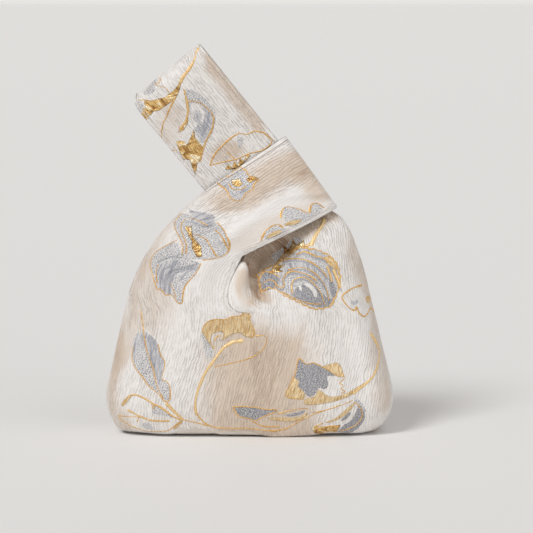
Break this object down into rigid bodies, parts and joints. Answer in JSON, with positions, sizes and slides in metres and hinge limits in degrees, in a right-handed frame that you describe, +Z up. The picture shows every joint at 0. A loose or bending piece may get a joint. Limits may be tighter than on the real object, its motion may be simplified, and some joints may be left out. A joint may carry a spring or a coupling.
{
  "type": "japanese knot bag",
  "caption": "Small lined cloth handbag that stands on a flat base, its long strap pulled through the loop of its short strap so that the knot closes the mouth.",
  "frame": {"origin": "middle of the flat base", "axes": "+Z up, the front with the lapped slit faces -Y, the short strap rises from the left (-X) side and the long strap from the right (+X) side"},
  "size_m": [0.218, 0.0936, 0.293],
  "materials": {
    "brocade": "ivory crinkled satin brocade with gold and grey flowers",
    "lining": "plain beige satin"
  },
  "bodies": {
    "root": {"outer_front_panel": "brocade", "outer_back_panel": "brocade", "lining_front_panel": "lining", "lining_back_panel": "lining"}
  },
  "joints": []
}
